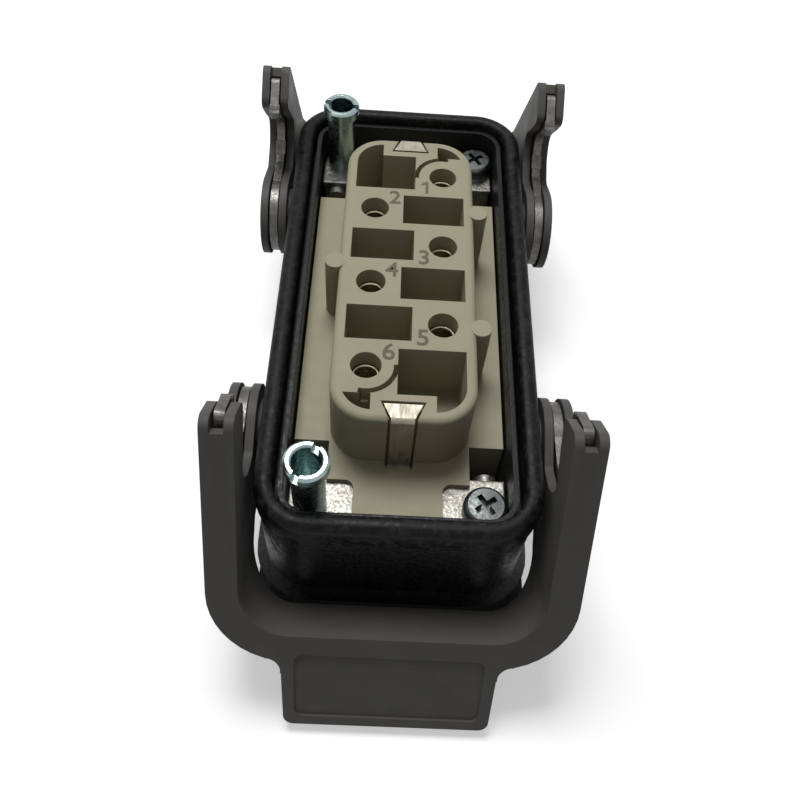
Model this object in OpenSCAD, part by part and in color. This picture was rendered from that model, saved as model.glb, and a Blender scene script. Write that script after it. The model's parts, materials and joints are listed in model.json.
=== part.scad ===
// Heavy duty rectangular connector, bulkhead mounting, with two locking levers.
// Frame: +Z up, base of the flange gasket at Z 0, X across, Y along the housing.
// Both levers are modelled open. Millimetres.

/* [Housing] */
// Length of the housing wall, outside
housing_length = 92.4; // [88:0.2:100]
// Width of the housing wall, outside
housing_width = 42.6; // [42:0.2:48]
// Corner radius of the housing wall, outside
housing_corner = 8; // [6:0.5:12]
// Height of the ledge that carries the rim seal
ledge_height = 25.8; // [24:0.1:28]
// Height of the inner lip above the seal ledge
lip_height = 4; // [2:0.1:4.5]
// Thickness of the inner lip
lip_wall = 0.9; // [0.8:0.1:1.6]
// Length of the housing mouth, inside
cavity_length = 85.4; // [85:0.1:87]
// Width of the housing mouth, inside
cavity_width = 34.6; // [34.2:0.1:35.6]
// Corner radius of the housing mouth, inside
cavity_corner = 4; // [3:0.5:6]

/* [Flange] */
// Length of the flange
flange_length = 112.5; // [111:0.5:120]
// Width of the flange
flange_width = 44.4; // [44:0.2:50]
// Thickness of the flange
flange_thickness = 5.2; // [4:0.1:6]
// Corner radius of the flange
flange_corner = 8; // [4:0.5:9]
// Thickness of the flange gasket
gasket_thickness = 1.5; // [1:0.1:2]
// Distance between the panel holes along the housing
panel_hole_pitch_y = 103; // [101:0.5:105]
// Distance between the panel holes across the housing
panel_hole_pitch_x = 32; // [30:0.5:33]
// Diameter of a panel hole
panel_hole_bore = 5.5; // [4.3:0.1:6]
// Height and reach of the slope between flange and wall
root_slope = 1.8; // [1:0.1:2.5]

/* [Rim seal] */
// Height of the rim seal above its ledge
seal_height = 5.2; // [4.6:0.1:6]
// Radius of the seal's upper outer edge
seal_edge = 1.2; // [0.5:0.1:1.6]

/* [Insert] */
// Height of the insert's contact face above the base
face_height = 37; // [36:0.1:38]
// Length of the raised contact block
block_length = 61.8; // [60:0.1:63]
// Width of the raised contact block
block_width = 22.7; // [22:0.1:23.4]
// Corner radius of the raised contact block
block_corner = 6.5; // [5:0.5:8]
// Edge radius of the contact face
block_edge = 1; // [0.4:0.1:1.4]
// Height of the contact block above the insert's shoulder
block_height = 12.5; // [12:0.1:13]
// Length of the insert
insert_length = 84.4; // [83:0.1:84.6]
// Width of the insert
insert_width = 33.8; // [33:0.1:33.8]
// Length of the insert's full width part
shoulder_length = 55.2; // [54:0.1:57]
// Width of the insert's tongue at each end
tongue_width = 22.6; // [21:0.1:23]
// Width of the tongue between its two end notches
tongue_end_width = 14.4; // [13:0.1:15]
// Distance of the end notches from the insert's centre
notch_distance = 36; // [35.4:0.1:37]
// Height of the insert's wiring face above the base
wiring_face_height = 2; // [1:0.1:4]
// Depth of the rectangular pockets
pocket_depth = 11.4; // [8:0.1:11.6]
// Width of a rectangular pocket, along the housing
pocket_size_y = 6.8; // [6.4:0.1:7]
// Distance from the centre plane to a pocket's outer wall
pocket_reach = 9.6; // [9:0.1:9.8]
// How far a pocket reaches past the centre plane
pocket_overlap = 1; // [0.4:0.1:1.4]
// Diameter of a polarising rib
rib_diameter = 3.4; // [3:0.1:3.8]

/* [Contacts] */
// Distance from one contact to the next, along the housing
contact_pitch = 8.46; // [8.2:0.02:8.7]
// Distance of each contact row from the centre plane
contact_row = 5.95; // [5.8:0.05:6.2]
// Bore of a contact chamber
chamber_bore = 4.86; // [4.7:0.02:5]
// Depth from the contact face to a contact's mouth
contact_recess = 2.8; // [2:0.1:4]
// Outer diameter of a contact's socket
socket_diameter = 4.5; // [4.2:0.05:4.6]
// Bore of a contact's socket
socket_bore = 3.6; // [3.2:0.05:3.7]
// Depth of a contact's socket bore
socket_depth = 14; // [10:0.5:15]
// Diameter of a contact's terminal
terminal_diameter = 7.4; // [7:0.1:7.8]
// Width of the slit in a socket
slit_width = 0.5; // [0.3:0.1:0.7]
// Bore of a contact's wire entry
wire_bore = 4.4; // [3.6:0.1:5]
// Diameter of a terminal screw's thread
terminal_screw_diameter = 4; // [3:0.1:4.4]

/* [Earth parts] */
// Thickness of the earth bracket's sheet
bracket_thickness = 1; // [0.8:0.1:1.2]
// Distance from the insert's shoulder down to the bracket's upper face
bracket_drop = 1; // [0.8:0.1:1.6]
// Width of the earth spring's strip
spring_width = 3.6; // [3:0.1:4]
// Thickness of the earth spring's strip
spring_thickness = 0.5; // [0.4:0.05:0.7]
// Width of the earth spring's head
spring_head_width = 6; // [5:0.1:6.6]
// Length of the earth spring's tapered head
spring_head_length = 2.6; // [2:0.1:3]
// Length of the earth spring's whole head, from its tip to the block's end
spring_head_reach = 3; // [2.8:0.1:3.6]
// Slot clearance beside the earth spring
spring_gap = 0.3; // [0.2:0.05:0.5]

/* [Fixings] */
// Distance between the fixings along the housing
fixing_pitch_y = 77.5; // [77:0.1:78]
// Distance between the fixings across the housing
fixing_pitch_x = 27; // [26.6:0.1:27.2]
// Diameter of a fixing screw's thread
fixing_diameter = 4; // [3:0.1:4.2]
// Diameter of a fixing screw's head
fixing_head_diameter = 7; // [6:0.1:7.2]
// Height of a fixing screw's head
fixing_head_height = 2.5; // [2:0.1:3]
// Diameter of a guide bush's stem
bush_stem = 5.2; // [4.8:0.1:6]
// Diameter of a guide bush's crown
bush_crown = 6.8; // [6.4:0.1:7.4]
// Height of a guide bush's crown
bush_crown_height = 2; // [1.4:0.1:3]
// Bore of a guide bush
bush_bore = 4.4; // [4:0.1:4.5]
// Height of a guide bush's mouth above the contact face
bush_rise = 1; // [0:0.1:2]

/* [Levers] */
// Angle from the closed to the open position
open_angle = 57.5; // [50:0.5:60]
// Distance of each lever pivot from the housing's centre
pivot_distance = 24.6; // [23:0.1:26]
// Height of the lever pivots above the base
pivot_height = 22.1; // [21.5:0.1:23]
// Height of the closed lever's face above its pivot
face_rise = 24.5; // [23:0.1:26]
// Width of a lever, outside
lever_width = 55.2; // [54.8:0.1:58]
// Width of a lever's window
window_width = 45.6; // [45:0.1:45.8]
// Distance from pivot to the window's end edge
window_reach = 22.1; // [22:0.1:24]
// Distance from pivot to the crossbar's outer edge
crossbar_reach = 26.9; // [26.8:0.1:28]
// Distance from pivot to the end of the grip tab
tab_reach = 39.4; // [37:0.1:39.8]
// Distance from pivot back to the arm's upper end
arm_back = 13.6; // [13:0.1:14.5]
// Width of the grip tab at its root
tab_width = 33.4; // [31:0.1:34]
// Width of the grip tab at its end
tab_end_width = 32.3; // [30:0.1:34]
// Thickness of the grip tab
tab_thickness = 2.5; // [2:0.1:2.8]
// Thickness of the lever's face
lever_face = 1.7; // [1.4:0.1:2]
// Thickness of the lever's two side walls
lever_wall = 1.4; // [1.2:0.1:1.6]
// Depth of the crossbar below the lever's face
crossbar_depth = 8; // [6:0.1:8.2]
// Radius of the lever's pivot eyes
eye_radius = 7.5; // [7:0.1:8]
// Outer corner radius of the crossbar
lever_corner = 12; // [9:0.5:13]
// Corner radius of the lever's window
window_corner = 7.6; // [5:0.2:8]
// Thickness of a hook plate
hook_thickness = 1.5; // [1.2:0.1:1.6]
// Diameter of a pivot pin
pivot_pin = 5; // [4:0.1:5.6]
// Radial clearance between a pin and what turns on it
pivot_clearance = 0.05; // [0.02:0.01:0.1]

/* [Hidden] */
$fn = 64;
eps = 0.01;
ends = [-1, 1];
sides = [-1, 1];
fine = 32;

flange_top = gasket_thickness + flange_thickness;
lip_top = ledge_height + lip_height;
seal_gap = 0.15;
seal_inner_width = cavity_width + 2 * (lip_wall + seal_gap);
seal_inner_length = cavity_length + 2 * (lip_wall + seal_gap);
seal_setback = 0.3;

shoulder_top = face_height - block_height;
bracket_top = shoulder_top - bracket_drop;
bracket_bottom = bracket_top - bracket_thickness;
contact_rows = 6;
contact_mouth = face_height - contact_recess;
socket_foot = contact_mouth - socket_depth - 1.4;
terminal_height = 14;
terminal_foot = socket_foot - terminal_height;
terminal_screw_height = socket_foot - 7;
wire_entry = 6.4;
screw_access = 5.6;
rib_reach = block_width / 2 + 0.75;
rib_places = [[-1, 0], [1, -12.8], [1, 12.8]];
block_wall = block_width / 2 - pocket_reach;
clip_block_width = 10;
clip_block_length = 2.9;
clip_block_start = block_length / 2 - block_wall - clip_block_length;
boss_radius = chamber_bore / 2 + 1.9;

pillar_diameter = 7.2;
tapping_bore = 3.3;
fixing_hole = fixing_diameter + 0.4;
washer_thickness = 0.8;
washer_diameter = fixing_head_diameter;
bush_top = face_height + bush_rise;
bush_thread_length = 7;
bush_slot_width = 1.2;
bush_slot_depth = 1.5;
bush_slot_angles = [62, -10];
bracket_inner = 33;
bracket_lip = 4.5;
earth_screw_place = [-(tongue_width + insert_width) / 4, bracket_inner - bracket_thickness];
earth_screw_height = bracket_top - bracket_lip / 2 - bracket_thickness / 2;
earth_screw_bore = 2.6;
spring_stand_out = 0.2;

channel_outer = lever_width / 2 - lever_wall;
channel_inner = window_width / 2 + lever_wall;
hook_middle = (channel_outer + channel_inner) / 2;
pin_end = lever_width / 2 + 0.3;
pin_root = cavity_width / 2 + 1.2;
pin_shaft_chamfer = 0.5;
pivot_bore = pivot_pin / 2 + pivot_clearance;
hub_radius = 5;
hub_gap = 0.5;
hub_face = housing_width / 2 + hub_gap;
tab_corner = 1.6;
tab_root_fillet = 2.4;
panel_inset = 1.7;
panel_depth = 0.4;
panel_corner = 1.4;

// Unit vector along v
function unit(v) = v / norm(v);

// Shortest turn from angle a to angle b
function turn(a, b) = let (d = b - a) d > 180 ? d - 360 : d < -180 ? d + 360 : d;

// Arc of radius r that rounds the corner b between its neighbours a and c
function corner_arc(a, b, c, r, steps) =
    let (
        back = unit(a - b),
        ahead = unit(c - b),
        half = acos(back * ahead) / 2,
        centre = b + unit(back + ahead) * r / sin(half),
        first = b + back * r / tan(half) - centre,
        last = b + ahead * r / tan(half) - centre,
        start = atan2(first.y, first.x),
        sweep = turn(start, atan2(last.y, last.x))
    )
    [for (i = [0:steps]) centre + r * [cos(start + sweep * i / steps), sin(start + sweep * i / steps)]];

// Outline through corners given as [x, y, radius]
function rounded(corners, steps = 6) =
    let (n = len(corners), flat = [for (c = corners) [c.x, c.y]])
    [for (i = [0:n - 1])
        each corners[i][2] == 0
            ? [flat[i]]
            : corner_arc(flat[(i + n - 1) % n], flat[i], flat[(i + 1) % n], corners[i][2], steps)];

// Rectangle with round corners, centred
module round_rect(width, length, corner) {
    square([width - 2 * corner, length], center = true);
    square([width, length - 2 * corner], center = true);
    for (x = sides, y = ends)
        translate([x * (width / 2 - corner), y * (length / 2 - corner)])
            circle(corner);
}

// Upright prism on a rectangle with round corners
module round_block(width, length, corner, low, high) {
    translate([0, 0, low])
        linear_extrude(high - low)
            round_rect(width, length, corner);
}

// The same prism with a rounded upper edge
module domed_block(width, length, corner, low, high, edge) {
    steps = 4;
    hull() {
        for (i = [0:steps]) {
            inset = edge * (1 - cos(90 * i / steps));
            level = high - edge + edge * sin(90 * i / steps);
            round_block(width - 2 * inset, length - 2 * inset, corner - inset, low, level, $fn = fine);
        }
    }
}

// Copies its children to every fixing corner named by [side, end]
module at_fixings(corners) {
    for (c = corners)
        translate([c.x * fixing_pitch_x / 2, c.y * fixing_pitch_y / 2, 0])
            children();
}

all_corners = [for (x = sides, y = ends) [x, y]];
screw_corners = [for (y = ends) [1, y]];
panel_holes = [for (x = sides, y = ends) [x * panel_hole_pitch_x / 2, y * panel_hole_pitch_y / 2]];

// Place of contact number n: odd numbers on the right, number 1 at the rear
function contact_place(n) =
    [(n % 2 == 1 ? 1 : -1) * contact_row, (3.5 - n) * contact_pitch];

// ---------------------------------------------------------------- housing

module housing() {
    color([0.07, 0.07, 0.075])
    difference() {
        union() {
            round_block(flange_width, flange_length, flange_corner, gasket_thickness, flange_top);
            hull() {
                round_block(housing_width + 2 * root_slope, housing_length + 2 * root_slope,
                    housing_corner + root_slope, flange_top - eps, flange_top, $fn = fine);
                round_block(housing_width, housing_length, housing_corner,
                    flange_top, flange_top + root_slope, $fn = fine);
            }
            round_block(housing_width, housing_length, housing_corner, flange_top, ledge_height);
            round_block(cavity_width + 2 * lip_wall, cavity_length + 2 * lip_wall,
                cavity_corner + lip_wall, flange_top, lip_top);
        }
        difference() {
            round_block(cavity_width, cavity_length, cavity_corner,
                gasket_thickness - 1, lip_top + 1);
            for (c = all_corners)
                translate([c.x * fixing_pitch_x / 2, c.y * fixing_pitch_y / 2, 0])
                    scale([c.x, c.y, 1])
                        fixing_pillar();
        }
        for (p = panel_holes)
            translate([p.x, p.y, gasket_thickness - 1])
                cylinder(d = panel_hole_bore, h = flange_thickness + 2);
        at_fixings(all_corners)
            translate([0, 0, bracket_bottom - 13])
                cylinder(d = tapping_bore, h = 14);
        for (x = sides, y = ends)
            translate([x * pin_root, y * pivot_distance, pivot_height])
                rotate([0, x * 90, 0])
                    cylinder(d = pivot_pin, h = housing_width);
    }
}

// Pillar that carries one fixing, tied to the housing's corner
module fixing_pillar() {
    tie = pillar_diameter / 2 + 1.2;
    translate([0, 0, flange_top])
        linear_extrude(bracket_bottom - flange_top) {
            circle(d = pillar_diameter);
            square(tie);
        }
}

module rim_seal() {
    outer_width = housing_width - 2 * seal_setback;
    outer_length = housing_length - 2 * seal_setback;
    color([0.1, 0.1, 0.1])
    difference() {
        domed_block(outer_width, outer_length, housing_corner - seal_setback,
            ledge_height, ledge_height + seal_height, seal_edge);
        round_block(seal_inner_width, seal_inner_length, cavity_corner + lip_wall + seal_gap,
            ledge_height - 1, ledge_height + seal_height + 1);
    }
}

module flange_gasket() {
    color([0.12, 0.12, 0.12])
    difference() {
        round_block(flange_width, flange_length, flange_corner, 0, gasket_thickness);
        round_block(cavity_width, cavity_length, cavity_corner, -1, gasket_thickness + 1);
        for (p = panel_holes)
            translate([p.x, p.y, -1])
                cylinder(d = panel_hole_bore, h = gasket_thickness + 2);
    }
}

// ----------------------------------------------------------------- insert

module insert_body() {
    color([0.62, 0.6, 0.52])
    difference() {
        union() {
            domed_block(block_width, block_length, block_corner, shoulder_top - 1, face_height, block_edge);
            for (rib = rib_places)
                translate([rib[0] * rib_reach, rib[1], shoulder_top - 1])
                    cylinder(d = rib_diameter, h = block_height + 1);
            insert_base();
        }
        for (n = [1:contact_rows])
            translate(contact_place(n))
                contact_chamber(sign(contact_place(n).x));
        for (n = [2:contact_rows - 1])
            rectangular_pocket(n);
        for (turn_angle = [0, 180])
            rotate([0, 0, turn_angle]) {
                end_pocket();
                corner_pocket();
                earth_slot();
            }
    }
}

// Everything below the shoulder: full width middle, a tongue at each end
module insert_base() {
    middle = [insert_width, shoulder_length];
    translate([0, 0, wiring_face_height])
        linear_extrude(shoulder_top - wiring_face_height)
            square(middle, center = true);
    translate([0, 0, wiring_face_height])
        linear_extrude(recess_floor() - wiring_face_height)
            square([insert_width, 2 * (bracket_inner + bracket_thickness)], center = true);
    translate([0, 0, wiring_face_height])
        linear_extrude(shoulder_top - wiring_face_height)
            square([tongue_width - 5, insert_length], center = true);
    translate([0, 0, bracket_top])
        linear_extrude(bracket_drop)
            tongue_outline();
    translate([0, 0, recess_floor()])
        linear_extrude(shoulder_top - recess_floor())
            square([tongue_width, 2 * bracket_inner], center = true);
}

// Floor of the corner recesses behind the brackets
function recess_floor() = bracket_bottom - 11;

// The tongue seen from above, with its round inner notch corners
module tongue_outline() {
    w = tongue_width / 2;
    e = tongue_end_width / 2;
    n = notch_distance;
    l = insert_length / 2;
    polygon(rounded([
        [-w, -n, 0.6], [-e, -n, 2.2], [-e, -l, 0.4], [e, -l, 0.4], [e, -n, 2.2], [w, -n, 0.6],
        [w, n, 0.6], [e, n, 2.2], [e, l, 0.4], [-e, l, 0.4], [-e, n, 2.2], [-w, n, 0.6]
    ]));
}

// Chamber for one contact, with its wire entry and its screw hole
module contact_chamber(side) {
    translate([0, 0, socket_foot - 1])
        cylinder(d = chamber_bore, h = face_height - socket_foot + 2);
    translate([0, 0, terminal_foot])
        cylinder(d = terminal_diameter + 0.02, h = terminal_height);
    translate([0, 0, wiring_face_height - 1])
        cylinder(d = wire_entry, h = terminal_foot - wiring_face_height + 2);
    translate([0, 0, terminal_screw_height])
        rotate([0, side * 90, 0])
            cylinder(d = screw_access, h = insert_width);
}

// Pocket in the row opposite contact number n
module rectangular_pocket(n) {
    place = contact_place(n);
    side = -sign(place.x);
    span = pocket_reach + pocket_overlap;
    translate([side * (pocket_reach - span / 2), place.y, face_height - pocket_depth / 2 + 1])
        cube([span, pocket_size_y, pocket_depth + 2], center = true);
}

// Room inside the contact block's wall, seen from above
module block_inside() {
    round_rect(block_width - 2 * block_wall, block_length - 2 * block_wall, block_corner - block_wall);
}

// The pocket beside the last contact runs on into the block's corner
module end_pocket() {
    low = contact_place(1).y - pocket_size_y / 2;
    clip = clip_block_width / 2;
    translate([0, 0, face_height - pocket_depth])
        linear_extrude(pocket_depth + 1)
            intersection() {
                block_inside();
                polygon([[-block_width, low], [pocket_overlap, low], [pocket_overlap, clip_block_start],
                    [-clip, clip_block_start], [-clip, block_length], [-block_width, block_length]]);
            }
}

// Quarter round pocket beside the last contact's boss
module corner_pocket() {
    boss = contact_place(1);
    translate([0, 0, face_height - pocket_depth])
        linear_extrude(pocket_depth + 1)
            difference() {
                intersection() {
                    block_inside();
                    translate([clip_block_width / 2, clip_block_start])
                        square(block_width);
                }
                translate(boss)
                    circle(boss_radius);
            }
}

// Slot for one earth spring: head, neck and the drop down the block's end
module earth_slot() {
    end = block_length / 2;
    tip = end - spring_head_reach;
    gap = spring_gap;
    wide = spring_head_width / 2 + gap;
    narrow = spring_width / 2 + gap;
    translate([0, 0, face_height - spring_thickness])
        linear_extrude(spring_thickness + 1)
            polygon([[-wide, tip - gap], [wide, tip - gap], [narrow, tip + spring_head_length],
                [narrow, end + 1], [-narrow, end + 1], [-narrow, tip + spring_head_length]]);
    translate([-narrow, end - spring_thickness, bracket_top])
        cube([2 * narrow, spring_thickness + 1.2, face_height - bracket_top + 1]);
    translate([-insert_width / 2 - 1, bracket_inner, bracket_bottom])
        cube([insert_width + 2, insert_length / 2 - bracket_inner + 1, bracket_thickness]);
    translate([-spring_width, end - spring_thickness, bracket_bottom])
        cube([2 * spring_width, bracket_inner - end + spring_thickness + 1, bracket_thickness + eps]);
}

// --------------------------------------------------------------- contacts

// One turned contact, standing in its chamber
module contact(n) {
    place = contact_place(n);
    side = sign(place.x);
    r = socket_diameter / 2;
    bore = socket_bore / 2;
    big = terminal_diameter / 2;
    c = (r - bore) / 3;
    top = contact_mouth;
    floor_level = contact_mouth - socket_depth;
    color([0.75, 0.74, 0.7])
    translate([place.x, place.y, 0])
    difference() {
        rotate_extrude()
            polygon([[0, terminal_foot], [big, terminal_foot], [big, socket_foot], [r, socket_foot],
                [r, top - c], [r - c, top], [bore + c, top], [bore, top - c],
                [bore, floor_level], [0, floor_level]]);
        translate([-big, -slit_width / 2, floor_level + 1])
            cube([terminal_diameter, slit_width, socket_depth]);
        translate([0, 0, terminal_foot - 1])
            cylinder(d = wire_bore, h = 11);
        translate([0, 0, terminal_screw_height])
            rotate([0, side * 90, 0])
                cylinder(d = terminal_screw_diameter, h = terminal_diameter);
    }
}

// Slotted terminal screws, one in the side of each contact
module terminal_screws() {
    length = 5;
    head = terminal_screw_diameter / 2;
    inner = 1;
    color([0.7, 0.68, 0.6])
    for (n = [1:contact_rows]) {
        place = contact_place(n);
        side = sign(place.x);
        translate([place.x, place.y, terminal_screw_height])
            rotate([0, side * 90, 0])
                difference() {
                    translate([0, 0, inner])
                        cylinder(r = head, h = length);
                    translate([-head - 1, -0.4, inner + length - 1])
                        cube([2 * head + 2, 0.8, 2]);
                }
    }
}

// ------------------------------------------------------------ earth parts

// Strip spring over the block's end, with its tapered head
module earth_spring() {
    end = block_length / 2;
    tip = end - spring_head_reach;
    wide = spring_head_width / 2;
    narrow = spring_width / 2;
    t = spring_thickness;
    skin = end + spring_stand_out;
    color([0.68, 0.66, 0.6])
    union() {
        translate([0, 0, face_height - t])
            linear_extrude(t)
                polygon([[-wide, tip], [wide, tip], [narrow, tip + spring_head_length],
                    [narrow, end - t], [-narrow, end - t], [-narrow, tip + spring_head_length]]);
        translate([narrow, 0, 0])
            rotate([0, -90, 0])
                linear_extrude(spring_width)
                    polygon(rounded([
                        [face_height, end - 2 * t, 0], [face_height, skin, 0.9],
                        [bracket_top, skin, 0], [bracket_top, skin - t, 0],
                        [face_height - t, skin - t, 0.4], [face_height - t, end - 2 * t, 0]
                    ]));
    }
}

module earth_spring_front() {
    rotate([0, 0, 180])
        earth_spring();
}

module earth_spring_rear() {
    earth_spring();
}

// Folded sheet bracket across one end, under the two fixings
module earth_bracket() {
    half = insert_width / 2;
    outer = insert_length / 2;
    t = bracket_thickness;
    spring_seat = block_length / 2 - spring_thickness + spring_gap;
    lip_low = tongue_width / 2 + 0.2;
    lip_high = half - 0.2;
    color([0.8, 0.8, 0.78])
    difference() {
        union() {
            translate([0, 0, bracket_bottom])
                linear_extrude(t)
                    polygon(rounded([
                        [-half, bracket_inner, 0], [half, bracket_inner, 0],
                        [half, outer, 3], [-half, outer, 3]
                    ]));
            translate([-spring_width, spring_seat, bracket_bottom])
                cube([2 * spring_width, bracket_inner + t - spring_seat, t]);
            for (x = sides)
                translate([x == 1 ? lip_low : -lip_high, bracket_inner, bracket_top - bracket_lip])
                    cube([lip_high - lip_low, t, bracket_lip]);
        }
        for (x = sides)
            translate([x * fixing_pitch_x / 2, fixing_pitch_y / 2, bracket_bottom - 1])
                cylinder(d = fixing_hole, h = t + 2);
        translate(concat(earth_screw_place, [0]))
            translate([0, 0, earth_screw_height])
                rotate([-90, 0, 0])
                    cylinder(d = earth_screw_bore, h = 3 * t);
    }
}

module earth_bracket_front() {
    rotate([0, 0, 180])
        earth_bracket();
}

module earth_bracket_rear() {
    earth_bracket();
}

// Earth clamping screws, one in the lip of each bracket
module earth_screws() {
    color([0.7, 0.68, 0.6])
    for (turn_angle = [0, 180])
        rotate([0, 0, turn_angle])
            earth_screw();
}

module earth_screw() {
    head = earth_screw_bore / 2 + 0.6;
    head_height = 1.6;
    translate([earth_screw_place.x, bracket_inner, earth_screw_height])
        rotate([90, 0, 0])
            difference() {
                union() {
                    cylinder(r = head, h = head_height);
                    translate([0, 0, -bracket_thickness])
                        cylinder(d = earth_screw_bore, h = bracket_thickness + 0.5);
                }
                translate([-2 * head, -0.4, head_height - 0.8])
                    cube([4 * head, 0.8, 2]);
            }
}

// --------------------------------------------------------------- fixings

// Hollow guide bush with a slotted crown, standing on the bracket
module guide_bush(end, slot_angle) {
    stem = bush_stem / 2;
    crown = bush_crown / 2;
    bore = bush_bore / 2;
    thread = fixing_diameter / 2;
    seat = bracket_top;
    floor_level = seat + 1.5;
    color([0.6, 0.68, 0.7])
    translate([-fixing_pitch_x / 2, end * fixing_pitch_y / 2, 0])
    difference() {
        rotate_extrude()
            polygon([[0, seat - bush_thread_length], [thread - 0.35, seat - bush_thread_length],
                [thread - 0.35, seat], [stem, seat], [stem, bush_top - bush_crown_height - 0.5],
                [crown, bush_top - bush_crown_height], [crown, bush_top - 0.4], [crown - 0.4, bush_top],
                [bore + 0.3, bush_top], [bore, bush_top - 0.3], [bore, floor_level], [0, floor_level]]);
        rotate([0, 0, slot_angle])
            translate([-crown - 1, -bush_slot_width / 2, bush_top - bush_slot_depth])
                cube([2 * crown + 2, bush_slot_width, bush_slot_depth + 1]);
    }
}

module guide_bush_front() {
    guide_bush(-1, bush_slot_angles[0]);
}

module guide_bush_rear() {
    guide_bush(1, bush_slot_angles[1]);
}

// Pan head screws with a cross recess
module fixing_screws() {
    r = fixing_head_diameter / 2;
    seat = bracket_top + washer_thickness;
    color([0.78, 0.8, 0.82])
    at_fixings(screw_corners)
        difference() {
            rotate_extrude()
                polygon(concat(
                    [[0, seat - 12], [tapping_bore / 2, seat - 12], [tapping_bore / 2, seat], [r, seat]],
                    [for (a = [0:15:60]) [r - 1.4 + 1.4 * cos(a), seat + fixing_head_height - 1.4 + 1.4 * sin(a)]],
                    [[0, seat + fixing_head_height]]));
            for (a = [35, 125])
                rotate([0, 0, a])
                    translate([-1.9, -0.45, seat + fixing_head_height - 1.5])
                        cube([3.8, 0.9, 2]);
        }
}

// Split spring washers under the fixing screws
module fixing_washers() {
    color([0.7, 0.71, 0.72])
    at_fixings(screw_corners)
        difference() {
            translate([0, 0, bracket_top])
                cylinder(d = washer_diameter, h = washer_thickness);
            translate([0, 0, bracket_top - 1])
                cylinder(d = fixing_hole, h = washer_thickness + 2);
            translate([0, -0.2, bracket_top - 1])
                cube([washer_diameter, 0.4, washer_thickness + 2]);
        }
}

// ----------------------------------------------------------------- levers

// Four pins pressed into the housing wall
module pivot_pins() {
    r = pivot_pin / 2;
    c = pin_shaft_chamfer;
    color([0.62, 0.62, 0.62])
    for (x = sides, y = ends)
        translate([0, y * pivot_distance, pivot_height])
            rotate([0, x * 90, 0])
                rotate_extrude()
                    polygon([[0, pin_root], [r, pin_root], [r, pin_end - c], [r - c, pin_end], [0, pin_end]]);
}

// Side view of a lever arm about its pivot, closed: [outward, up]
function arm_profile(depth) = rounded([
    [-arm_back, face_rise, 1.8],
    [-arm_back + 0.6, face_rise - 7.8, 1.6],
    [-arm_back + 6.2, face_rise - 7.2, 2],
    [-arm_back + 12.6, face_rise - 6, 3],
    [-arm_back + 14.4, face_rise - 10.5, 3],
    [-arm_back + 13.6, eye_radius + 1.8, 2.2],
    [-eye_radius * 0.6, eye_radius * 0.8, 0],
    [0, 0, 0],
    [eye_radius * 0.85, -eye_radius * 0.53, 0],
    [eye_radius * 1.55, eye_radius * 0.85, 9],
    [window_reach - 5, face_rise - depth, 5],
    [crossbar_reach + 1, face_rise - depth, 0],
    [crossbar_reach + 1, face_rise, 0]
], 6);

// Plan of a lever, closed: an arch open at the pivots' end
module arch_plan(width, reach, corner) {
    w = width / 2;
    polygon(rounded([
        [-w, arm_back, 0], [w, arm_back, 0], [w, -reach, corner], [-w, -reach, corner]
    ], 10));
}

module tab_plan() {
    root = tab_width / 2;
    tip = tab_end_width / 2;
    polygon(rounded([
        [-root, -crossbar_reach + 1, 0], [root, -crossbar_reach + 1, 0],
        [tip, -tab_reach, tab_corner], [-tip, -tab_reach, tab_corner]
    ]));
    for (x = sides)
        scale([x, 1])
            polygon(rounded([
                [root - 1, -crossbar_reach + 1, 0], [root + tab_root_fillet, -crossbar_reach + 1, 0],
                [root + tab_root_fillet, -crossbar_reach, 0],
                [root, -crossbar_reach, tab_root_fillet - 0.6],
                [root, -crossbar_reach - tab_root_fillet, 0], [root - 1, -crossbar_reach - tab_root_fillet, 0]
            ]));
}

// One lever in its closed pose, its pivot axis on X
module closed_lever() {
    wide = lever_width;
    win = window_width;
    wall = 2 * lever_wall;
    difference() {
        union() {
            // Face, rounded at the arms' upper ends by the side profile
            intersection() {
                side_prism(wide + 2);
                plan_prism(face_rise - lever_face, face_rise) difference() {
                    arch_plan(wide, crossbar_reach, lever_corner);
                    window_plan(win, window_reach, window_corner);
                }
            }
            // Outer wall
            intersection() {
                side_prism(wide + 2);
                plan_prism(-eye_radius, face_rise) difference() {
                    arch_plan(wide, crossbar_reach, lever_corner);
                    window_plan(wide - wall, crossbar_reach - lever_wall, lever_corner - lever_wall);
                }
            }
            // Inner wall, round the window
            intersection() {
                side_prism(wide + 2);
                plan_prism(-eye_radius, face_rise) difference() {
                    arch_plan(win + wall, window_reach + lever_wall, window_corner + lever_wall);
                    window_plan(win, window_reach, window_corner);
                }
            }
            plan_prism(face_rise - tab_thickness, face_rise)
                tab_plan();
            for (x = sides)
                translate([x * hub_face, 0, 0])
                    rotate([0, x * 90, 0])
                        cylinder(r = hub_radius, h = channel_inner - hub_face - eps);
        }
        grip_panel();
        translate([-wide, 0, 0])
            rotate([0, 90, 0])
                cylinder(r = pivot_bore, h = 2 * wide);
    }
}

// Arm profile with its round eyes, drawn right across the lever
module side_prism(width) {
    translate([-width / 2, 0, 0])
        rotate([90, 0, 90])
            linear_extrude(width) {
                scale([-1, 1])
                    polygon(arm_profile(crossbar_depth));
                circle(eye_radius);
            }
}

module plan_prism(low, high) {
    translate([0, 0, low])
        linear_extrude(high - low)
            children();
}

// Opening of the arch, run out past the arms' ends
module window_plan(width, reach, corner) {
    arch_plan(width, reach, corner);
    translate([-width / 2, arm_back - eps])
        square([width, 5]);
}

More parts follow.
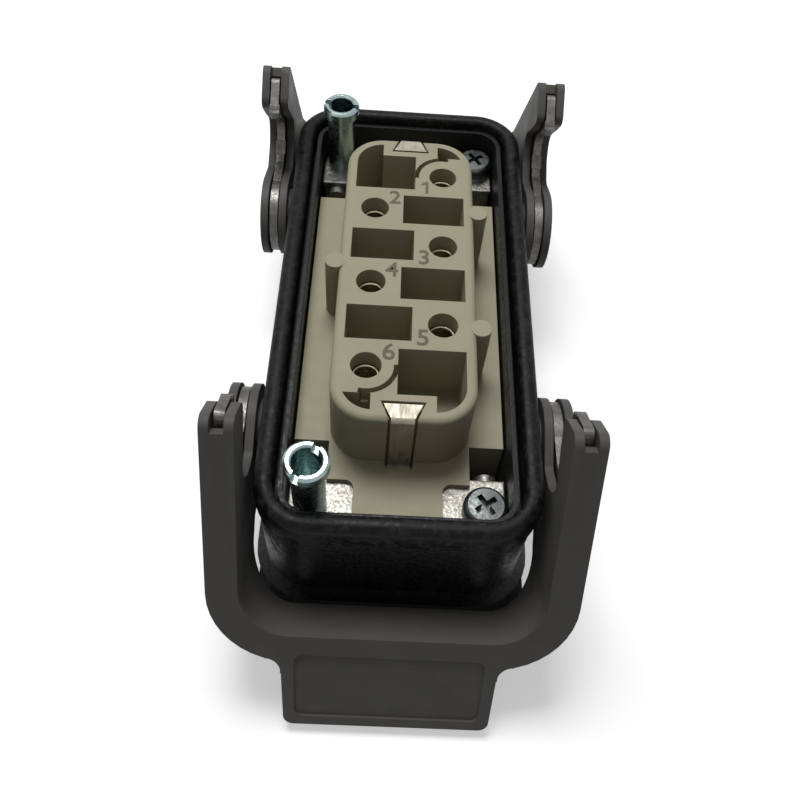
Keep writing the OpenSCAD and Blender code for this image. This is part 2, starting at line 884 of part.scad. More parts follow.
// Shallow panel in the grip tab's face
module grip_panel() {
    near = -crossbar_reach + 1.3;
    far = -tab_reach + panel_inset;
    half_near = tab_width / 2 - panel_inset - 0.4;
    half_far = tab_end_width / 2 - panel_inset;
    translate([0, 0, face_rise - panel_depth])
        linear_extrude(panel_depth + 1)
            polygon(rounded([
                [-half_near, near, panel_corner], [half_near, near, panel_corner],
                [half_far, far, panel_corner], [-half_far, far, panel_corner]
            ]));
}

// Moves a closed pose piece to the open front or rear lever
module opened(end) {
    rotate([0, 0, end == -1 ? 0 : 180])
        translate([0, -pivot_distance, pivot_height])
            rotate([open_angle, 0, 0])
                children();
}

module front_lever() {
    color([0.45, 0.44, 0.42])
    opened(-1)
        closed_lever();
}

module rear_lever() {
    color([0.45, 0.44, 0.42])
    opened(1)
        closed_lever();
}

// Side view of a hook plate about its pivot, closed: [outward, up]
function hook_profile() = rounded([
    [-arm_back + 0.2, face_rise - 2.4, 1.2],
    [-arm_back + 0.3, face_rise - 9, 1.2],
    [-arm_back + 3.4, face_rise - 9.2, 1],
    [-arm_back + 5.4, face_rise - 7.6, 2],
    [-arm_back + 11.2, face_rise - 7, 2.6],
    [-arm_back + 12.8, face_rise - 11, 2.4],
    [-arm_back + 12.2, eye_radius + 2.6, 2],
    [-eye_radius * 0.55, eye_radius * 0.75, 0],
    [0, 0, 0],
    [eye_radius * 0.7, -eye_radius * 0.45, 0],
    [eye_radius * 1.2, eye_radius, 6],
    [7, face_rise - 5.5, 3],
    [3, face_rise - 2.4, 2]
], 6);

// Steel hook plate with its two widened bearing edges
module hook_plate(end, side) {
    t = hook_thickness;
    pad = channel_outer - channel_inner - 0.2;
    color([0.66, 0.66, 0.64])
    opened(end)
        translate([side * hook_middle, 0, 0])
            difference() {
                union() {
                    plate_prism(t) {
                        scale([-1, 1])
                            polygon(hook_profile());
                        circle(eye_radius - 0.6);
                    }
                    plate_prism(pad)
                        translate([arm_back - 2, face_rise - 8.3])
                            square([3, 1.6], center = true);
                    plate_prism(pad)
                        translate([arm_back - 13, face_rise - 11.5])
                            square([1.2, 2.6], center = true);
                }
                translate([-5, 0, 0])
                    rotate([0, 90, 0])
                        cylinder(r = pivot_bore, h = 10);
            }
}

// Prism of thickness t across X, its outline in [Y, Z]
module plate_prism(t) {
    translate([-t / 2, 0, 0])
        rotate([90, 0, 90])
            linear_extrude(t)
                children();
}

module front_hook_left() {
    hook_plate(-1, -1);
}

module front_hook_right() {
    hook_plate(-1, 1);
}

module rear_hook_left() {
    hook_plate(1, 1);
}

module rear_hook_right() {
    hook_plate(1, -1);
}

housing();
rim_seal();
flange_gasket();
insert_body();
contact(1);  // contact_1
contact(2);  // contact_2
contact(3);  // contact_3
contact(4);  // contact_4
contact(5);  // contact_5
contact(6);  // contact_6
terminal_screws();
earth_spring_front();
earth_spring_rear();
earth_bracket_front();
earth_bracket_rear();
earth_screws();
guide_bush_front();
guide_bush_rear();
fixing_screws();
fixing_washers();
pivot_pins();
front_lever();
front_hook_left();
front_hook_right();
rear_lever();
rear_hook_left();
rear_hook_right();
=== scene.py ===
import json
import math

import bmesh
import bpy
import numpy as np
from mathutils import Matrix, Vector


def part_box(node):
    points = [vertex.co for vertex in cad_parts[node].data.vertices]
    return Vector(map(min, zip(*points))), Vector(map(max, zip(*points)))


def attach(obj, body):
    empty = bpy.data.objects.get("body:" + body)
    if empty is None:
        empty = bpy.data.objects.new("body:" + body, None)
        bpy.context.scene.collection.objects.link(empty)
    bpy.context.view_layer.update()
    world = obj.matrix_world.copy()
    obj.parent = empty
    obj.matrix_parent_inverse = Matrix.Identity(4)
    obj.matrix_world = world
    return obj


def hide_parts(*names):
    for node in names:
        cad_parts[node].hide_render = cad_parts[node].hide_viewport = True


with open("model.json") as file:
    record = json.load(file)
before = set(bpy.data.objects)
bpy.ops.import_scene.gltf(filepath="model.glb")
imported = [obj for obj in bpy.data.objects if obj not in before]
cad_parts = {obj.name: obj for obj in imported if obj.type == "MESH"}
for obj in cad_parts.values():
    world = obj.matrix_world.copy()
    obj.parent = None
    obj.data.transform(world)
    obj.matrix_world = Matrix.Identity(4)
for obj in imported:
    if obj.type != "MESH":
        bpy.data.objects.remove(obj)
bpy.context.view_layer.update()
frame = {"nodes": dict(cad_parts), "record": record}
MM = 0.001

# ------------------------------------------------------------------ part sizes, in millimetres

CONTACT_PITCH = 8.46
CONTACT_ROW = 5.95
PIVOT_DISTANCE = 24.6
PIVOT_HEIGHT = 22.1
OPEN_ANGLE = 57.5

FACE_HEIGHT = 37.0
SHOULDER_TOP = 24.5
BRACKET_TOP = 23.5
BLOCK_END = 30.9
BOSS_RADIUS = 4.33
GROOVE_WIDTH = 0.8
GROOVE_DEPTH = 2.5
GROOVE_START = 78
GROOVE_TURN = 106
NOTCH_INNER = (7.0, 34.5)
NOTCH_OUTER = (12.4, 43.5)
NOTCH_RADIUS = 1.4
CLIP_WIDTH = 3.6
CLIP_HEAD = 6.0
CLIP_HEAD_TIP = 27.9
CLIP_HEAD_NECK = 30.5
CLIP_GAP = 0.42
CLIP_DEPTH = 1.2

SEAL_HALF_WIDTH = 21.75
SEAL_HALF_LENGTH = 46.6
SEAL_CORNER = 8.6
SEAL_TOP = 31.7
SEAL_ROUND = (1.5, 1.3)
SEAL_WIDTH = 2.85

LEVER_FACE = 24.5
LEVER_HALF_WIDTH = 27.6
LEVER_REACH = 26.9
LEVER_CORNER = 12.0
ARM_END = 13.6
CHANNEL = (24.2, 26.2)
FORK_DEPTH = (2.3, 2.6)
INNER_CORNER = (15.2, -14.5)
INNER_RADIUS = 7.6
INNER_WALL = 1.4
WEB_TOP = 17.2
WEB_START = -11.2
WEB_ARM_FOOT = (7.0, 8.2)
WEB_CORNER_FOOT = 8.5
WEB_RISE = 8
TAB_ROOT = 16.7
TAB_FILLET = 2.4

# ------------------------------------------------------------------ node helpers


class Finish:
    """A node material for one of the connector's surfaces, built up step by step on Object coordinates."""

    def __init__(self, name, colour, roughness, metallic=0.0, specular=0.5):
        self.material = bpy.data.materials.new(name)
        self.material.use_nodes = True
        self.tree = self.material.node_tree
        self.shader = self.tree.nodes["Principled BSDF"]
        self.shader.inputs["Base Color"].default_value = (*colour, 1)
        self.shader.inputs["Roughness"].default_value = roughness
        self.shader.inputs["Metallic"].default_value = metallic
        self.shader.inputs["Specular IOR Level"].default_value = specular
        self.colour = tuple(colour)
        self.place = self.node("ShaderNodeTexCoord").outputs["Object"]
        self.height = None
        self.rounding = None

    def node(self, kind, **values):
        made = self.tree.nodes.new(kind)
        for key, value in values.items():
            setattr(made, key, value)
        return made

    def link(self, a, b):
        self.tree.links.new(a, b)

    def noise(self, size_mm, detail=2.0, stretch=(1, 1, 1), distortion=0.0):
        """Noise whose features are about size_mm across, longer where stretch is below 1."""
        mapping = self.node("ShaderNodeMapping")
        mapping.inputs["Scale"].default_value = stretch
        self.link(self.place, mapping.inputs["Vector"])
        made = self.node("ShaderNodeTexNoise")
        made.inputs["Scale"].default_value = 1.0 / (size_mm * MM)
        made.inputs["Detail"].default_value = detail
        made.inputs["Distortion"].default_value = distortion
        self.link(mapping.outputs["Vector"], made.inputs["Vector"])
        return made.outputs["Fac"]

    def spread(self, value, low, high, to_low=0.0, to_high=1.0):
        """Value between low and high, run out to to_low and to_high."""
        made = self.node("ShaderNodeMapRange")
        for key, number in (("From Min", low), ("From Max", high), ("To Min", to_low), ("To Max", to_high)):
            made.inputs[key].default_value = number
        self.link(value, made.inputs["Value"])
        return made.outputs["Result"]

    def tone(self, mask, other):
        """The colour runs to other where mask is 1."""
        mix = self.node("ShaderNodeMix", data_type="RGBA")
        base = self.shader.inputs["Base Color"]
        if base.is_linked:
            self.link(base.links[0].from_socket, mix.inputs[6])
        else:
            mix.inputs[6].default_value = (*self.colour, 1)
        mix.inputs[7].default_value = (*other, 1)
        self.link(mask, mix.inputs[0])
        self.link(mix.outputs[2], base)
        return self

    def gloss(self, value, low, high):
        """Roughness between low and high, as value goes from 0.35 to 0.65."""
        self.link(self.spread(value, 0.35, 0.65, low, high), self.shader.inputs["Roughness"])
        return self

    def relief(self, value, depth_mm, strength=1.0):
        """A bump of depth_mm, on top of those already there."""
        made = self.node("ShaderNodeBump")
        made.inputs["Distance"].default_value = depth_mm * MM
        made.inputs["Strength"].default_value = strength
        self.link(value, made.inputs["Height"])
        before = self.height or self.rounding
        if before is not None:
            self.link(before, made.inputs["Normal"])
        self.height = made.outputs["Normal"]
        self.link(self.height, self.shader.inputs["Normal"])
        return self

    def rounded_edges(self, radius_mm):
        """Sharp edges catch the light as if they were broken by radius_mm."""
        made = self.node("ShaderNodeBevel", samples=6)
        made.inputs["Radius"].default_value = radius_mm * MM
        self.rounding = made.outputs["Normal"]
        self.link(self.rounding, self.shader.inputs["Normal"])
        return self

    def edge_mask(self, radius_mm, reach=0.25):
        """1 along sharp edges and 0 on open faces: how far the rounded normal leans from the face's own."""
        soft = self.node("ShaderNodeBevel", samples=6)
        soft.inputs["Radius"].default_value = radius_mm * MM
        face = self.node("ShaderNodeNewGeometry")
        dot = self.node("ShaderNodeVectorMath", operation="DOT_PRODUCT")
        self.link(soft.outputs["Normal"], dot.inputs[0])
        self.link(face.outputs["True Normal"], dot.inputs[1])
        return self.spread(dot.outputs["Value"], 1.0, 1.0 - reach)


# ------------------------------------------------------------------ finishes

def make_finishes():
    """Each material slot of the record, with the grain, tone and gloss of its own surface."""
    made = {}

    f = Finish("pebble_plastic", (0.36, 0.335, 0.235), 0.55, specular=0.2).rounded_edges(0.18)
    f.tone(f.spread(f.noise(9, 3), 0.35, 0.7, 0.0, 0.35), (0.33, 0.305, 0.21))
    f.gloss(f.noise(3, 3), 0.48, 0.64)
    f.relief(f.noise(0.22, 3), 0.012, 0.5)
    made["insert_body"] = f

    f = Finish("lever_plastic", (0.088, 0.085, 0.078), 0.52, specular=0.2).rounded_edges(0.25)
    f.tone(f.spread(f.noise(14, 3), 0.35, 0.7, 0.0, 0.4), (0.074, 0.0715, 0.066))
    f.tone(f.spread(f.edge_mask(0.3), 0.0, 1.0, 0.0, 0.35), (0.095, 0.092, 0.086))
    f.gloss(f.noise(4, 4), 0.48, 0.62)
    f.relief(f.noise(0.18, 3), 0.012, 0.6)
    made["lever"] = f

    f = Finish("black_powder_coat", (0.011, 0.0112, 0.0114), 0.42, specular=0.17).rounded_edges(0.3)
    f.tone(f.spread(f.noise(0.5, 4), 0.5, 0.78, 0.0, 0.8), (0.022, 0.022, 0.023))
    f.gloss(f.noise(0.8, 4), 0.3, 0.55)
    f.relief(f.noise(0.55, 4), 0.06, 0.8)
    made["housing"] = f

    f = Finish("seal_rubber", (0.004, 0.0041, 0.0042), 0.5, specular=0.13).rounded_edges(0.25)
    blotches = f.noise(1.3, 5, distortion=0.8)
    f.tone(f.spread(blotches, 0.48, 0.72, 0.0, 0.7), (0.034, 0.0335, 0.032))
    f.gloss(blotches, 0.34, 0.6)
    f.relief(blotches, 0.07, 0.7)
    f.relief(f.noise(0.2, 3), 0.01, 0.5)
    made["rim_seal"] = f

    f = Finish("gasket_rubber", (0.018, 0.018, 0.019), 0.75).rounded_edges(0.2)
    f.tone(f.spread(f.noise(2, 4), 0.4, 0.75, 0.0, 0.5), (0.035, 0.035, 0.035))
    f.relief(f.noise(0.3, 3), 0.02, 0.6)
    made["flange_gasket"] = f

    def metal(name, colour, roughness, tint, grain=0.25, stretch=(1, 1, 1), depth=0.006, edges=0.1):
        """A metal that runs from colour to tint in patches, with a grain of that size and depth."""
        m = Finish(name, colour, roughness, metallic=1.0).rounded_edges(edges)
        m.tone(m.spread(m.noise(1.6, 4), 0.35, 0.7, 0.0, 0.6), tint)
        m.gloss(m.noise(0.5, 4, stretch), roughness * 0.75, roughness * 1.4)
        m.relief(m.noise(grain, 4, stretch), depth, 0.7)
        return m

    made["contact"] = metal("silvered_contact", (0.62, 0.57, 0.42), 0.3, (0.5, 0.43, 0.27),
                            stretch=(0.15, 0.15, 3))
    made["terminal_screws"] = metal("terminal_screw_steel", (0.62, 0.60, 0.55), 0.34, (0.5, 0.48, 0.42))
    made["earth_spring"] = metal("spring_nickel", (0.31, 0.292, 0.24), 0.44, (0.21, 0.195, 0.145),
                                 stretch=(1, 0.2, 0.2), depth=0.012)
    made["earth_bracket"] = metal("plated_bracket", (0.3, 0.29, 0.262), 0.4, (0.1, 0.096, 0.085), grain=0.7,
                                  depth=0.12, edges=0.5)
    # Earth screws: steel at about half the terminal screws' brightness, which is painted shade, darkened as if the
    # screws lay in shadow
    made["earth_screws"] = metal("earth_screw_steel_painted_shade", (0.3, 0.29, 0.26), 0.45, (0.2, 0.19, 0.17))
    made["guide_bush"] = metal("blue_zinc_bush", (0.36, 0.45, 0.44), 0.24, (0.26, 0.38, 0.4),
                               stretch=(0.3, 0.3, 2))
    made["fixing_screws"] = metal("blue_zinc_screw", (0.12, 0.13, 0.127), 0.4, (0.05, 0.062, 0.066), grain=0.35,
                                  depth=0.03)
    made["fixing_washers"] = metal("zinc_washer", (0.34, 0.35, 0.35), 0.4, (0.22, 0.23, 0.24))
    made["pivot_pins"] = metal("turned_pin", (0.62, 0.60, 0.56), 0.28, (0.5, 0.48, 0.44))
    made["hook_plate"] = metal("stamped_steel", (0.16, 0.155, 0.145), 0.42, (0.06, 0.058, 0.054), grain=0.5,
                               depth=0.05)
    return made


# ------------------------------------------------------------------ new pieces

def new_object(name, data):
    """An object in the scene for data. A piece's stays at the origin, with its place in its points."""
    made = bpy.data.objects.new(name, data)
    bpy.context.scene.collection.objects.link(made)
    return made


def grid_faces(rows, columns, rows_close):
    """The quads of a grid of points. Its columns close on themselves, and its rows do where rows_close says so."""
    row, column = np.meshgrid(np.arange(rows if rows_close else rows - 1), np.arange(columns), indexing="ij")
    down, right = (row + 1) % rows, (column + 1) % columns
    corners = [row * columns + column, row * columns + right, down * columns + right, down * columns + column]
    return np.stack(corners, -1).reshape(-1, 4).tolist()


def prism(outline, low, high):
    """The closed prism over an outline, a run of (x, y) points turning left, from low to high, in millimetres."""
    outline = np.asarray(outline, float)
    count = len(outline)
    points = np.vstack([np.column_stack([outline, np.full(count, z)]) for z in (low, high)]) * MM
    here = np.arange(count)
    after = (here + 1) % count
    sides = np.column_stack([here, after, after + count, here + count]).tolist()
    mesh = bpy.data.meshes.new("cutter")
    mesh.from_pydata(points.tolist(), [], [here[::-1].tolist(), (here + count).tolist()] + sides)
    return new_object("cutter", mesh)


def arc(centre, radius, start, end, steps=24):
    """Points at radius round centre, their angle running evenly from start to end in degrees."""
    angle = np.radians(np.linspace(start, end, steps))
    return np.column_stack([centre[0] + radius * np.cos(angle), centre[1] + radius * np.sin(angle)])


def box_outline(x, y):
    """The four corners of a rectangle between the two values of x and of y, turning left."""
    (x0, x1), (y0, y1) = sorted(x), sorted(y)
    return [(x0, y0), (x1, y0), (x1, y1), (x0, y1)]


def turned_left(outline):
    """The outline in the order whose signed area is positive."""
    outline = np.asarray(outline, float)
    x, y = outline.T
    area = np.sum(x * np.roll(y, -1) - np.roll(x, -1) * y)
    return outline if area > 0 else outline[::-1]


def working_copy(node, name):
    """A copy of a solid with its loose triangles merged, so that it can be cut."""
    source = frame["nodes"][node]
    mesh = source.data.copy()
    mesh.transform(source.matrix_world)
    if "custom_normal" in mesh.attributes:
        mesh.attributes.remove(mesh.attributes["custom_normal"])
    work = bmesh.new()
    work.from_mesh(mesh)
    bmesh.ops.remove_doubles(work, verts=work.verts, dist=0.0005 * MM)
    work.to_mesh(mesh)
    work.free()
    return new_object(name, mesh)


def cut_away(piece, cutters):
    """Takes each cutter's solid out of the piece, and the cutters with it."""
    for cutter in cutters:
        cut = piece.modifiers.new("cut", "BOOLEAN")
        cut.operation = "DIFFERENCE"
        cut.solver = "EXACT"
        cut.object = cutter
        bpy.context.view_layer.update()
        seen = piece.evaluated_get(bpy.context.evaluated_depsgraph_get())
        mesh = bpy.data.meshes.new_from_object(seen)
        piece.modifiers.clear()
        piece.data = mesh
        bpy.data.objects.remove(cutter)
    return piece


def shade(piece, angle=32):
    """Smooth where faces meet at less than angle degrees, sharp elsewhere."""
    piece.data.polygons.foreach_set("use_smooth", np.ones(len(piece.data.polygons), bool))
    piece.data.set_sharp_from_angle(angle=math.radians(angle))
    return piece


def dress(piece, slot, body):
    """Gives the piece the finish and the slot of that name, and has it ride on the body."""
    piece.data.materials.clear()
    piece.data.materials.append(FINISHES[slot].material)
    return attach(piece, body)


def rounded_loop(half_width, half_length, corner, inset, steps=14):
    """A rounded rectangle moved inwards by inset: four arcs whose radius is corner less inset."""
    radius = max(corner - inset, 0.3)
    x, y = half_width - inset - radius, half_length - inset - radius
    return np.vstack([arc((sx * x, sy * y), radius, first, first + 90, steps)
                      for sx, sy, first in ((1, 1, 0), (-1, 1, 90), (-1, -1, 180), (1, -1, 270))])


def seal_ring():
    """The rim seal: a section of (inset, height) points carried round a rounded rectangle as one closed grid."""
    low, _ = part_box("rim_seal")
    foot = low.z / MM
    across, up = SEAL_ROUND
    shoulder = SEAL_TOP - up
    dome = np.radians(np.linspace(0, 90, 8))
    outer = np.column_stack([across - across * np.cos(dome), shoulder + up * np.sin(dome)])
    section = np.vstack([
        [(0.75, foot), (0.45, foot + 0.35), (0.0, foot + 0.9), (0.0, shoulder)], outer[1:],
        [(2.35, SEAL_TOP - 0.02), (2.75, SEAL_TOP - 0.35), (SEAL_WIDTH, SEAL_TOP - 0.8), (SEAL_WIDTH, foot)],
    ])
    loops = [rounded_loop(SEAL_HALF_WIDTH, SEAL_HALF_LENGTH, SEAL_CORNER, inset) for inset, _ in section]
    around = len(loops[0])
    points = np.vstack([np.column_stack([loop, np.full(around, z)]) for loop, (_, z) in zip(loops, section)]) * MM
    mesh = bpy.data.meshes.new("rim_seal_ring")
    mesh.from_pydata(points.tolist(), [], grid_faces(len(section), around, True))
    ring = shade(new_object("rim_seal_ring", mesh), 40)
    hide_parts("rim_seal")
    return dress(ring, "rim_seal", "connector_base")


def notch_outline(side, end):
    """One corner notch of the tongue, with its inner corner rounded."""
    (x0, y0), (x1, y1) = NOTCH_INNER, NOTCH_OUTER
    corner = arc((x0 + NOTCH_RADIUS, y0 + NOTCH_RADIUS), NOTCH_RADIUS, 270, 180, 10)
    outline = np.vstack([[(x1, y0)], corner, [(x0, y1), (x1, y1)]])
    return turned_left(outline * (side, end))


def clip_outline(end, gap):
    """The tapered head of a clip and its neck, widened by gap."""
    head, neck = CLIP_HEAD / 2 + gap, CLIP_WIDTH / 2 + gap
    outline = [(-head, CLIP_HEAD_TIP - gap), (head, CLIP_HEAD_TIP - gap), (neck, CLIP_HEAD_NECK),
               (neck, BLOCK_END + 1), (-neck, BLOCK_END + 1), (-neck, CLIP_HEAD_NECK)]
    return turned_left(np.asarray(outline) * (1, end))


def cut_insert():
    """The insert moulding with its open notches, the grooves round the end bosses and the clips' gaps."""
    piece = working_copy("insert_body", "insert_moulding")
    cutters = []
    for end in (-1, 1):
        cutters += [prism(notch_outline(side, end), BRACKET_TOP, SHOULDER_TOP + 1) for side in (-1, 1)]
        x, y = contact_place(1 if end == 1 else 6)
        start = GROOVE_START if end == 1 else GROOVE_START + 180
        groove = np.vstack([arc((x, y), BOSS_RADIUS + GROOVE_WIDTH, start, start + GROOVE_TURN),
                            arc((x, y), BOSS_RADIUS, start + GROOVE_TURN, start)])
        cutters.append(prism(turned_left(groove), FACE_HEIGHT - GROOVE_DEPTH, FACE_HEIGHT + 1))
        cutters.append(prism(clip_outline(end, CLIP_GAP), FACE_HEIGHT - CLIP_DEPTH, FACE_HEIGHT + 1))
        half = CLIP_WIDTH / 2 + CLIP_GAP
        cutters.append(prism(box_outline((-half, half), (end * (BLOCK_END - 0.9), end * (BLOCK_END + 1))),
                             BRACKET_TOP + 0.02, FACE_HEIGHT + 1))
    shade(cut_away(piece, cutters))
    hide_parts("insert_body")
    return dress(piece, "insert_body", "connector_base")


def opened(piece, end):
    """A shape drawn for the closed front lever, swung open about its pivot, and turned round for the rear one."""
    swing = Matrix.Rotation(math.radians(OPEN_ANGLE), 4, "X")
    place = Matrix.Translation((0, -PIVOT_DISTANCE * MM, PIVOT_HEIGHT * MM)) @ swing
    turn = Matrix.Rotation(math.pi, 4, "Z") if end == 1 else Matrix.Identity(4)
    piece.data.transform(turn @ place)
    return piece


def cut_lever(node, end, body):
    """A lever with forked arm ends and a round fillet, tangent to tab and crossbar, at each side of its tab."""
    piece = working_copy(node, node + "_moulding")
    across = TAB_ROOT + TAB_FILLET
    from_corner = across - (LEVER_HALF_WIDTH - LEVER_CORNER)
    along = LEVER_CORNER - LEVER_REACH - math.sqrt((LEVER_CORNER + TAB_FILLET) ** 2 - from_corner ** 2)
    cutters = []
    for side in (-1, 1):
        fork = box_outline((side * CHANNEL[0], side * CHANNEL[1]), (ARM_END - FORK_DEPTH[0], ARM_END + 1))
        cutters.append(prism(fork, LEVER_FACE - FORK_DEPTH[1], LEVER_FACE + 1))
        cutters.append(prism(arc((side * across, along), TAB_FILLET, 0, 352.5, 48), LEVER_FACE - 4, LEVER_FACE + 1))
    shade(cut_away(piece, [opened(cutter, end) for cutter in cutters]))
    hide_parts(node)
    return dress(piece, "lever", body)


def corner_web(side, end, body, name):
    """A deeper inner wall at one corner of a lever.

    A rectangle is carried down the arm and round a quarter arc about the corner's centre. Its top stays level, and
    its foot rises with the sine of the angle, so that it runs out where the crossbar begins.
    """
    arm_steps, corners = 4, 4
    angle = np.radians(np.linspace(0, 90, 22))
    inner = np.column_stack([INNER_CORNER[0] + INNER_RADIUS * np.cos(angle),
                             INNER_CORNER[1] - INNER_RADIUS * np.sin(angle)])
    outer = inner + INNER_WALL * np.column_stack([np.cos(angle), -np.sin(angle)])
    foot = WEB_CORNER_FOOT + WEB_RISE * np.sin(angle)
    arm = np.linspace(WEB_START, INNER_CORNER[1], arm_steps + 1)[:-1]
    near = INNER_CORNER[0] + INNER_RADIUS
    inner = np.vstack([np.column_stack([np.full(arm_steps, near), arm]), inner])
    outer = np.vstack([np.column_stack([np.full(arm_steps, near + INNER_WALL), arm]), outer])
    foot = np.concatenate([np.linspace(*WEB_ARM_FOOT, arm_steps), foot])
    top = np.full(len(foot), WEB_TOP)
    rings = np.stack([np.column_stack([inner, foot]), np.column_stack([outer, foot]),
                      np.column_stack([outer, top]), np.column_stack([inner, top])], axis=1)
    last = corners * (len(foot) - 1)
    faces = grid_faces(len(foot), corners, False) + [[3, 2, 1, 0], [last, last + 1, last + 2, last + 3]]
    mesh = bpy.data.meshes.new(name)
    mesh.from_pydata((rings.reshape(-1, 3) * (side, 1, 1) * MM).tolist(), [], faces)
    work = bmesh.new()
    work.from_mesh(mesh)
    bmesh.ops.recalc_face_normals(work, faces=work.faces)
    work.to_mesh(mesh)
    work.free()
    return dress(shade(opened(new_object(name, mesh), end)), "lever", body)


def contact_place(n):
    """Odd contacts stand in the right row and even ones in the left, one pitch apart from the rear."""
    side = 1 if n % 2 else -1
    return side * CONTACT_ROW, (3.5 - n) * CONTACT_PITCH


def one_outline():
    """A plain 1, 3 mm tall: an upright stem with a short slanted flag to its left."""
    outline = [(0.1, -1.5), (0.58, -1.5), (0.58, 1.5), (0.2, 1.5), (-0.62, 0.98), (-0.62, 0.46), (0.1, 0.9)]
    cutter = prism(outline, 0, 0.06)
    mesh = cutter.data
    bpy.data.objects.remove(cutter)
    return mesh


def written_digit(n):
    """The digit n as the font draws it, slightly thickened."""
    curve = bpy.data.curves.new(f"digit_{n}", "FONT")
    curve.body = str(n)
    curve.align_x = "CENTER"
    curve.align_y = "CENTER"
    curve.size = 4.4 * MM
    curve.offset = 0.06 * MM
    curve.extrude = 0.03 * MM
    curve.resolution_u = 8
    text = new_object(f"digit_{n}", curve)
    bpy.context.view_layer.update()
    mesh = bpy.data.meshes.new_from_object(text.evaluated_get(bpy.context.evaluated_depsgraph_get()))
    bpy.data.objects.remove(text)
    return mesh


def contact_number(n, ink, face_z):
    """A contact's number, a thin moulded digit on the insert's face, between its socket and the next pocket."""
    x, y = contact_place(n)
    offset_x, offset_y = (-3.2, -2.8) if x > 0 else (3.4, 2.6)
    mesh, lift = (one_outline(), -0.02) if n == 1 else (written_digit(n), 0.01)
    mesh.transform(Matrix.Translation(((x + offset_x) * MM, (y + offset_y) * MM, face_z + lift * MM)))
    mesh.materials.clear()
    mesh.materials.append(ink)
    piece = new_object(f"contact_number_{n}", mesh)
    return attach(piece, "connector_base")


# ------------------------------------------------------------------ stage

def front_camera():
    """The camera, a little to the left of the front end and above it, looking down and slightly rolled."""
    place = Vector((-0.004349, -0.095759, 0.141985))
    yaw, down, roll = math.radians(3.17), math.radians(56.83), math.radians(5.57)
    forward = Vector((math.sin(yaw) * math.cos(down), math.cos(yaw) * math.cos(down), -math.sin(down)))
    level = forward.cross(Vector((0, 0, 1))).normalized()
    lift = level.cross(forward)
    right = math.cos(roll) * level + math.sin(roll) * lift
    up = -math.sin(roll) * level + math.cos(roll) * lift
    data = bpy.data.cameras.new("camera")
    data.sensor_width = 36
    data.lens = 37.81
    data.clip_start = 0.005
    camera = new_object("camera", data)
    turn = Matrix((right, up, -forward)).transposed().to_4x4()
    camera.matrix_world = Matrix.Translation(place) @ turn
    bpy.context.scene.camera = camera


def soft_lamp(name, place, aim, size, watts):
    """A square soft box at place, turned towards aim."""
    data = bpy.data.lights.new(name, "AREA")
    data.size = size
    data.energy = watts
    lamp = new_object(name, data)
    direction = Vector(aim) - Vector(place)
    lamp.matrix_world = Matrix.Translation(place) @ direction.to_track_quat("-Z", "Y").to_matrix().to_4x4()


def seen_directly(tree):
    """1 for what the camera sees straight, in a mirror or through glass, 0 for the light that falls on things."""
    path = tree.nodes.new("ShaderNodeLightPath")
    total = path.outputs["Is Camera Ray"]
    for name in ("Is Glossy Ray", "Is Transmission Ray"):
        larger = tree.nodes.new("ShaderNodeMath")
        larger.operation = "MAXIMUM"
        tree.links.new(total, larger.inputs[0])
        tree.links.new(path.outputs[name], larger.inputs[1])
        total = larger.outputs["Value"]
    return total


def pale_world():
    """White where it is seen, and a dim even fill where it lights the part."""
    world = bpy.data.worlds.new("studio")
    bpy.context.scene.world = world
    world.use_nodes = True
    tree = world.node_tree
    out = tree.nodes["World Output"]
    fill = tree.nodes["Background"]
    fill.inputs["Color"].default_value = (1, 1, 1, 1)
    fill.inputs["Strength"].default_value = 0.16
    white = tree.nodes.new("ShaderNodeBackground")
    white.inputs["Strength"].default_value = 1.0
    mix = tree.nodes.new("ShaderNodeMixShader")
    tree.links.new(seen_directly(tree), mix.inputs[0])
    tree.links.new(fill.outputs[0], mix.inputs[1])
    tree.links.new(white.outputs[0], mix.inputs[2])
    tree.links.new(mix.outputs[0], out.inputs["Surface"])


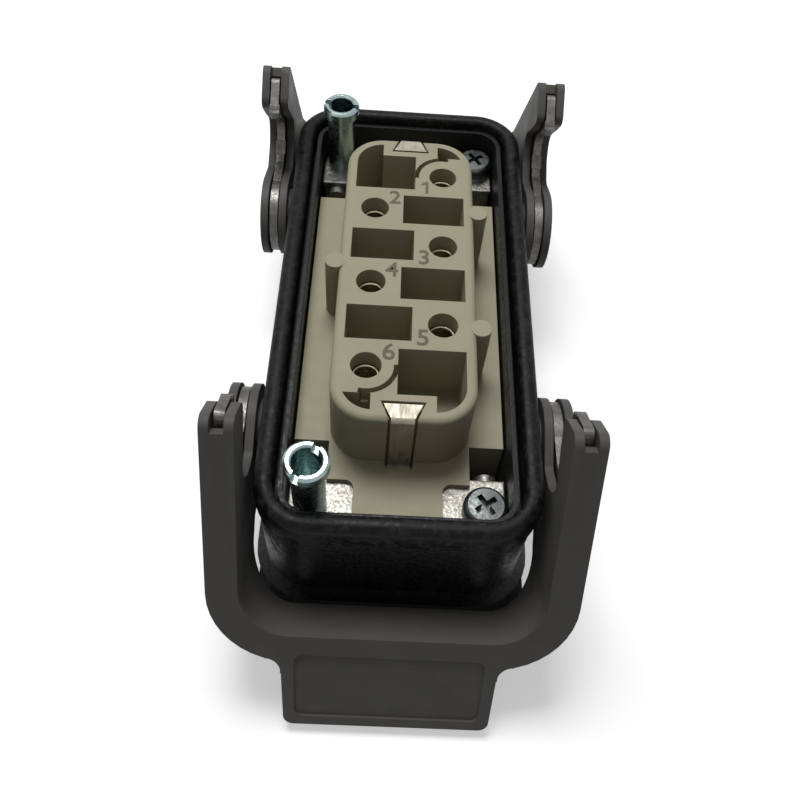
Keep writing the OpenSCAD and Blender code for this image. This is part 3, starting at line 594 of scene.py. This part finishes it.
def pale_floor():
    """A wide plain floor under the gasket, near white to the eye, that keeps the part's shadow."""
    half = 1.5
    mesh = bpy.data.meshes.new("floor")
    mesh.from_pydata([(-half, -half, 0), (half, -half, 0), (half, half, 0), (-half, half, 0)], [], [(0, 1, 2, 3)])
    floor = new_object("floor", mesh)
    floor.location.z = -0.02 * MM
    material = bpy.data.materials.new("pale_floor")
    material.use_nodes = True
    tree = material.node_tree
    shader = tree.nodes["Principled BSDF"]
    shader.inputs["Base Color"].default_value = (0.35, 0.35, 0.35, 1)
    shader.inputs["Roughness"].default_value = 1.0
    shader.inputs["Specular IOR Level"].default_value = 0.0
    plain = tree.nodes.new("ShaderNodeBsdfDiffuse")
    plain.inputs["Color"].default_value = (0.8, 0.8, 0.8, 1)
    glow = tree.nodes.new("ShaderNodeEmission")
    glow.inputs["Strength"].default_value = 0.45
    both = tree.nodes.new("ShaderNodeAddShader")
    mix = tree.nodes.new("ShaderNodeMixShader")
    tree.links.new(plain.outputs[0], both.inputs[0])
    tree.links.new(glow.outputs[0], both.inputs[1])
    tree.links.new(seen_directly(tree), mix.inputs[0])
    tree.links.new(shader.outputs[0], mix.inputs[1])
    tree.links.new(both.outputs[0], mix.inputs[2])
    tree.links.new(mix.outputs[0], tree.nodes["Material Output"].inputs["Surface"])
    mesh.materials.append(material)


# ------------------------------------------------------------------ the part

FINISHES = make_finishes()
slot_of = {row["node"]: row["material_slot"] for row in frame["record"]["subparts"]}
for name, node in frame["nodes"].items():
    node.data.materials.clear()
    node.data.materials.append(FINISHES[slot_of[name]].material)

seal_ring()
cut_insert()
cut_lever("front_lever", -1, "front_lever_set")
cut_lever("rear_lever", 1, "rear_lever_set")
for place, end in (("front", -1), ("rear", 1)):
    for hand, side in (("left", -1), ("right", 1)):
        corner_web(side, end, f"{place}_lever_set", f"{place}_lever_web_{hand}")

number_ink = Finish("moulded_digit", (0.15, 0.14, 0.1), 0.6, specular=0.1)
number_ink.tone(number_ink.spread(number_ink.noise(0.5, 3), 0.4, 0.7, 0.0, 0.5), (0.18, 0.168, 0.12))
number_ink.relief(number_ink.noise(0.2, 3), 0.01, 0.5)
insert_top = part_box("insert_body")[1].z
for number in range(1, 7):
    contact_number(number, number_ink.material, insert_top)

front_camera()
pale_world()
pale_floor()
soft_lamp("overhead", (-0.07, 0.2, 0.6), (0, 0, 0.02), 0.26, 2.85)
soft_lamp("left_fill", (-0.45, -0.1, 0.4), (0, 0, 0.02), 0.3, 0.14)

bpy.context.scene.view_settings.view_transform = "Standard"
